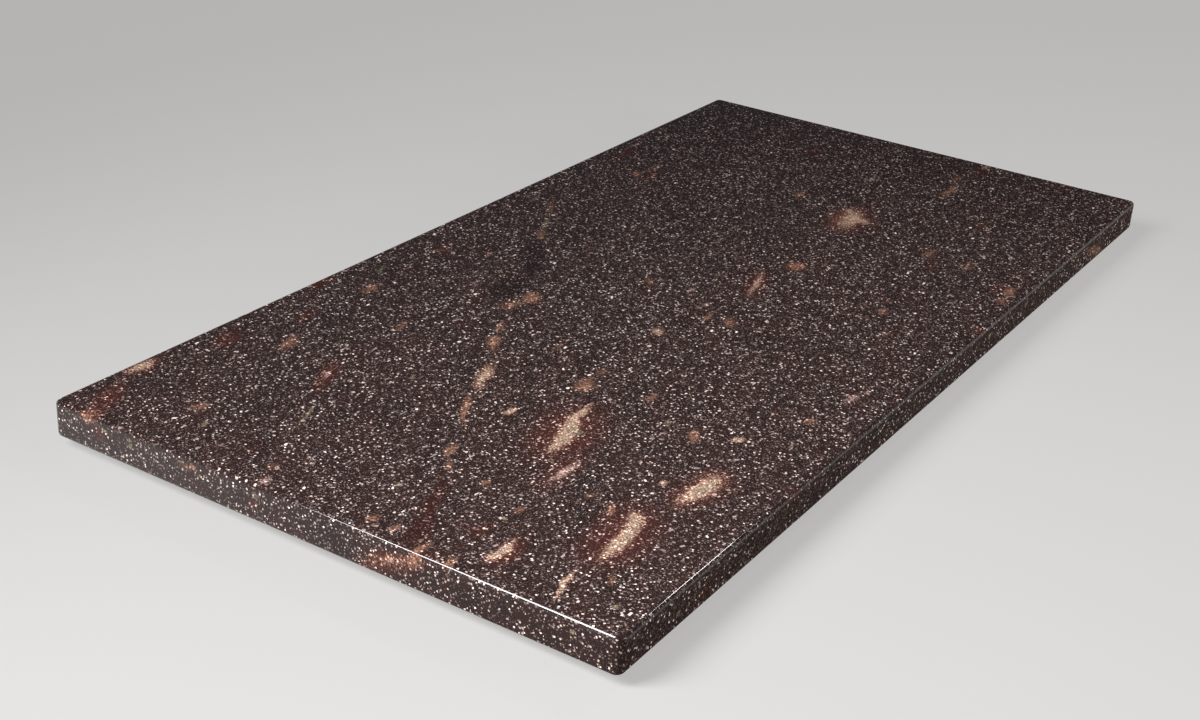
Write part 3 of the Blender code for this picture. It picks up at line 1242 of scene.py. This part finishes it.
# %% A polish for each face
ARRIS_POLISH = 0.8
ARRIS_REACH = (2.4, 1.7)  # where it starts and where it is full, in mm down and inwards together
TOP_POLISH = 0.50
LEAST_POLISH = 0.06  # on the front and the back
END_POLISH = (0.15, 1.0)  # added to it on the two ends, at their front and at their back


def stone_polish(tree, place, from_middle):
    """How much clear layer each point has; from_middle is its place without minus signs."""
    from_end = maths(tree, "SUBTRACT", HALF_LENGTH_MM, from_middle["X"])
    from_front = maths(tree, "SUBTRACT", HALF_WIDTH_MM, from_middle["Y"])
    from_side = maths(tree, "MINIMUM", from_end, from_front)
    from_top = maths(tree, "SUBTRACT", TOP_MM, from_middle["Z"])
    from_edge = maths(tree, "ADD", from_side, from_top)
    arris = fade(tree, from_edge, *ARRIS_REACH, low=0.0, high=ARRIS_POLISH)
    back = add(tree, "ShaderNodeSeparateXYZ", {0: place}).outputs["Y"]
    end = fade(tree, back, -HALF_WIDTH_MM, HALF_WIDTH_MM, *END_POLISH)
    side = maths(tree, "MULTIPLY_ADD", fade(tree, from_front, 0.5, 3.0), end, LEAST_POLISH)
    top = fade(tree, from_top, 0.5, 0.1, low=0.0, high=TOP_POLISH)
    face = maths(tree, "MAXIMUM", side, top)
    above = fade(tree, from_middle["Z"], BASE_MM + 0.3, BASE_MM + 1.5)
    return maths(tree, "MULTIPLY", maths(tree, "MAXIMUM", arris, face), above)


# %% [markdown]
# ## The stone put together
#
# The order is the order in which the rock came to be: figure, ground, crystals, stains, and then
# what people did to it, the saw and the polish. What is the same all over the stone, such as how
# strongly the clear layer bends light, is set on the shader's own socket.

# %% The polished stone
CRYSTALS_LOST = 0.55  # share of them that the middle of a dark patch hides
STONE_IOR = 1.5
POLISH_ROUGHNESS = 0.06


def stone_material(material):
    tree, shader, place = new_finish(material)
    figure = stone_figure(tree, place)
    drift, small_drift = drifts(tree, place)
    speck = noise(tree, place, scale=2.2)
    ground = ground_colour(tree, speck, drift, figure)
    tone, cover = crystal_layers(tree, place)
    crystal = crystal_colour(tree, tone, small_drift, figure)
    thinned = maths(tree, "MULTIPLY_ADD", figure["dark"], -CRYSTALS_LOST, 1.0)
    colour = blend(tree, maths(tree, "MULTIPLY", cover, thinned), ground, crystal)
    light = light_below(tree, tone, speck, figure["grain"])
    colour = lay_stains(tree, colour, light, figure)

    unsigned = vector_maths(tree, "ABSOLUTE", place)
    from_middle = add(tree, "ShaderNodeSeparateXYZ", {0: unsigned}).outputs
    sawn, arcs = saw_marks(tree, place, from_middle["Z"])
    colour = dusted(tree, colour, sawn, arcs)
    tree.links.new(colour, shader.inputs["Base Color"])
    tree.links.new(stone_roughness(tree, place, cover, sawn), shader.inputs["Roughness"])
    tree.links.new(stone_relief(tree, tone, speck, sawn, arcs), shader.inputs["Normal"])
    tree.links.new(stone_polish(tree, place, from_middle), shader.inputs["Coat Weight"])
    shader.inputs["IOR"].default_value = STONE_IOR
    shader.inputs["Specular IOR Level"].default_value = 0.0
    shader.inputs["Coat IOR"].default_value = STONE_IOR
    shader.inputs["Coat Roughness"].default_value = POLISH_ROUGHNESS
    print("stone:", len(tree.nodes), "nodes")


stone_material(stone)

# %% [markdown]
# ## Moulded rubber
#
# Rubber feet are nearly black, matt, and never clean: a fine grain left by the mould, slow clouds
# of a greyer black, and a little bench dust that has stuck to them in patches.

# %% Rubber
RUBBER_BLACK = rgb(0.012, 0.012, 0.013)
RUBBER_GREY = rgb(0.030, 0.029, 0.029)
BENCH_DUST = rgb(0.12, 0.115, 0.11)
RUBBER_ROUGHNESS = 0.50
MOULD_GRAIN = 0.00004  # its depth in metres


def rubber_material(material):
    tree, shader, place = new_finish(material)
    cloud = noise(tree, place, scale=0.25, detail=3.0)
    grain = noise(tree, place, scale=6.0)
    colour = blend(tree, cloud, RUBBER_BLACK, RUBBER_GREY)
    dust = fade(tree, noise(tree, place, scale=1.4, detail=3.0), 0.60, 0.72)
    colour = washed(tree, colour, dust, strength=0.25, wash=BENCH_DUST)
    tree.links.new(colour, shader.inputs["Base Color"])
    rough = maths(tree, "MULTIPLY_ADD", grain, 0.25, RUBBER_ROUGHNESS)
    tree.links.new(rough, shader.inputs["Roughness"])
    inputs = {"Height": grain, "Strength": 0.4, "Distance": MOULD_GRAIN}
    bump = add(tree, "ShaderNodeBump", inputs)
    tree.links.new(bump.outputs[0], shader.inputs["Normal"])
    print("rubber:", len(tree.nodes), "nodes")


rubber_material(rubber)

# %% [markdown]
# ## Adhesive foam
#
# The discs are white foam that has yellowed unevenly, and its pores lie open, a fifth of a
# millimetre wide. Voronoi cells are the right pattern for those, because bubbles press against
# each other in just that way: the middle of each cell is made dark, as painted shade in the pore.

# %% Foam
FOAM_WHITE = rgb(0.60, 0.59, 0.55)
FOAM_YELLOW = rgb(0.46, 0.44, 0.37)
# painted shade: the colour that the middle of each open pore is darkened towards
PORE_SHADE = rgb(0.22, 0.21, 0.19)
PORES_IN_A_MM = 5.0
PORE_DEPTH = 0.00008  # in metres
FOAM_ROUGHNESS = 0.70


def foam_material(material):
    tree, shader, place = new_finish(material)
    inputs = {"Vector": place, "Scale": PORES_IN_A_MM}
    pores = add(tree, "ShaderNodeTexVoronoi", inputs).outputs["Distance"]
    yellowing = noise(tree, place, scale=0.3, detail=3.0)
    colour = blend(tree, yellowing, FOAM_WHITE, FOAM_YELLOW)
    # painted shade inside each pore, strongest at the middle of its cell
    colour = blend(tree, fade(tree, pores, 0.35, 0.05, high=0.5), colour, PORE_SHADE)
    tree.links.new(colour, shader.inputs["Base Color"])
    rough = maths(tree, "MULTIPLY_ADD", yellowing, 0.2, FOAM_ROUGHNESS)
    tree.links.new(rough, shader.inputs["Roughness"])
    inputs = {"Height": pores, "Strength": 0.5, "Distance": PORE_DEPTH}
    bump = add(tree, "ShaderNodeBump", inputs)
    tree.links.new(bump.outputs[0], shader.inputs["Normal"])
    print("foam:", len(tree.nodes), "nodes")


foam_material(foam)

# %% [markdown]
# ## A floor
#
# The floor is plain and pale, so that the stone's outline stays clear and its shadow can be
# seen. It gives off a little light of its own, so that it stays even where the lamps don't
# reach, and a faint mottling keeps it from looking like paper.

# %% Floor
FLOOR_SIZE = 14.0
FLOOR_GREY = rgb(0.155, 0.154, 0.150)
FLOOR_PALE = rgb(0.170, 0.169, 0.165)
FLOOR_ROUGHNESS = 0.8
FLOOR_LIGHT = rgb(1.0, 0.99, 0.97)
FLOOR_GLOW = 0.44


def floor_material():
    material = bpy.data.materials.new("pale floor")
    material.use_nodes = True
    tree = material.node_tree
    shader = tree.nodes["Principled BSDF"]
    place = add(tree, "ShaderNodeTexCoord").outputs["Object"]
    mottling = noise(tree, place, scale=3.0, detail=4.0)
    colour = blend(tree, mottling, FLOOR_GREY, FLOOR_PALE)
    tree.links.new(colour, shader.inputs["Base Color"])
    shader.inputs["Roughness"].default_value = FLOOR_ROUGHNESS
    shader.inputs["Emission Color"].default_value = FLOOR_LIGHT
    shader.inputs["Emission Strength"].default_value = FLOOR_GLOW
    return material


def make_floor():
    mesh = bpy.data.meshes.new("floor")
    half = FLOOR_SIZE / 2
    corners = [(-half, -half, 0.0), (half, -half, 0.0), (half, half, 0.0), (-half, half, 0.0)]
    mesh.from_pydata(corners, [], [(0, 1, 2, 3)])
    mesh.materials.append(floor_material())
    floor = bpy.data.objects.new("floor", mesh)
    bpy.context.scene.collection.objects.link(floor)
    print("floor:", FLOOR_SIZE, "m each way")


make_floor()

# %% [markdown]
# ## Lights
#
# A polished dark stone is mostly a mirror for its room, so the room overhead is kept dim and the
# light is brought to the stone. One broad soft box hangs to the left of the slab, towards the
# back: it makes the left end bright and lets the top fall away towards the far corner. Its image
# slides along the rounded edge of the left end and draws a thin bright line on it, which tells
# the eye that the edge is polished. A second, small and weak, does the same for the first
# stretch of the front edge. A third stands in front, and lights the front side, which faces
# away from the first.

# %% Three soft boxes
COOL_WHITE = (0.97, 0.97, 1.0)
WARM_WHITE = (1.0, 0.99, 0.97)


def soft_box(name, place, aim, width, height, power, spread, colour):
    data = bpy.data.lights.new(name, "AREA")
    data.shape = "RECTANGLE"
    data.size = width
    data.size_y = height
    data.energy = power
    data.spread = math.radians(spread)
    data.color = colour
    lamp = bpy.data.objects.new(name, data)
    way = Vector(aim) - Vector(place)
    lamp.location = place
    lamp.rotation_euler = way.to_track_quat("-Z", "Y").to_euler()
    lamp.visible_camera = False
    bpy.context.scene.collection.objects.link(lamp)
    print(name + ":", power, "W,", round(way.length, 2), "m from what it is aimed at")


soft_box(
    "soft_box",
    place=(-0.90, 0.27, 0.83),
    aim=(-0.13, -0.74, 0.0),
    width=0.45,
    height=0.65,
    power=13.8,
    spread=108,
    colour=COOL_WHITE,
)
soft_box(
    "edge_box",
    place=(0.58, -0.26, 0.74),
    aim=(-0.25, -0.15, 0.02),
    width=0.10,
    height=0.10,
    power=0.14,
    spread=60,
    colour=COOL_WHITE,
)
soft_box(
    "front_box",
    place=(0.15, -1.50, 0.50),
    aim=(0.0, -0.15, 0.01),
    width=0.60,
    height=0.30,
    power=1.4,
    spread=80,
    colour=WARM_WHITE,
)

# %% [markdown]
# ## The room
#
# A pale wall stands behind the floor all round, painted into the world just above the horizon,
# so that the floor doesn't end against darkness when seen from low down. Above it the room is
# dim. In a world, Generated is the direction that a ray goes in, and its Z is the sine of the
# angle above the horizon.

# %% A dim room with a pale wall
WALL_TOP = math.sin(math.radians(10))
WALL_END = math.sin(math.radians(16))
DIM_OVERHEAD = rgb(0.032, 0.032, 0.035)
PALE_WALL = rgb(0.46, 0.455, 0.445)


def studio_world():
    """Dim overhead, with a pale wall that fades out between WALL_TOP and WALL_END."""
    world = bpy.data.worlds.new("dim studio")
    world.use_nodes = True
    tree = world.node_tree
    direction = add(tree, "ShaderNodeTexCoord").outputs["Generated"]
    upwards = add(tree, "ShaderNodeSeparateXYZ", {0: direction}).outputs["Z"]
    wall = fade(tree, upwards, WALL_END, WALL_TOP)
    colour = blend(tree, wall, DIM_OVERHEAD, PALE_WALL)
    tree.links.new(colour, tree.nodes["Background"].inputs["Color"])
    bpy.context.scene.world = world
    print("wall's top fades out between sines", round(WALL_TOP, 3), "and", round(WALL_END, 3))


studio_world()
bpy.context.scene.view_settings.view_transform = "Standard"

# %% [markdown]
# ## Camera
#
# The camera stands off the slab's front left corner, a little above it, and is turned a few
# degrees about its own axis. Its lens is a moderate portrait length, so that the long side runs
# away from the near corner without being stretched. Place, aim and roll are enough to set it:
# `to_track_quat` turns the aim into a rotation, and the roll is applied after it.

# %% Camera
CAMERA_PLACE = Vector((-0.7859, -0.4273, 0.4048))
CAMERA_AIM = Vector((-0.1098, -0.0160, 0.0234))
CAMERA_ROLL = math.radians(3.81)
CAMERA_LENS = 53.686
SENSOR_WIDTH = 36.0
NEAREST_SEEN = 0.01

camera_data = bpy.data.cameras.new("camera")
camera_data.lens = CAMERA_LENS
camera_data.sensor_width = SENSOR_WIDTH
camera_data.clip_start = NEAREST_SEEN
camera = bpy.data.objects.new("camera", camera_data)
look = (CAMERA_AIM - CAMERA_PLACE).to_track_quat("-Z", "Y").to_matrix().to_4x4()
roll = Matrix.Rotation(CAMERA_ROLL, 4, "Z")
camera.matrix_world = Matrix.Translation(CAMERA_PLACE) @ look @ roll
bpy.context.scene.collection.objects.link(camera)
bpy.context.scene.camera = camera
print("camera's right-hand direction:", [round(v, 4) for v in camera.matrix_world.col[0][:3]])
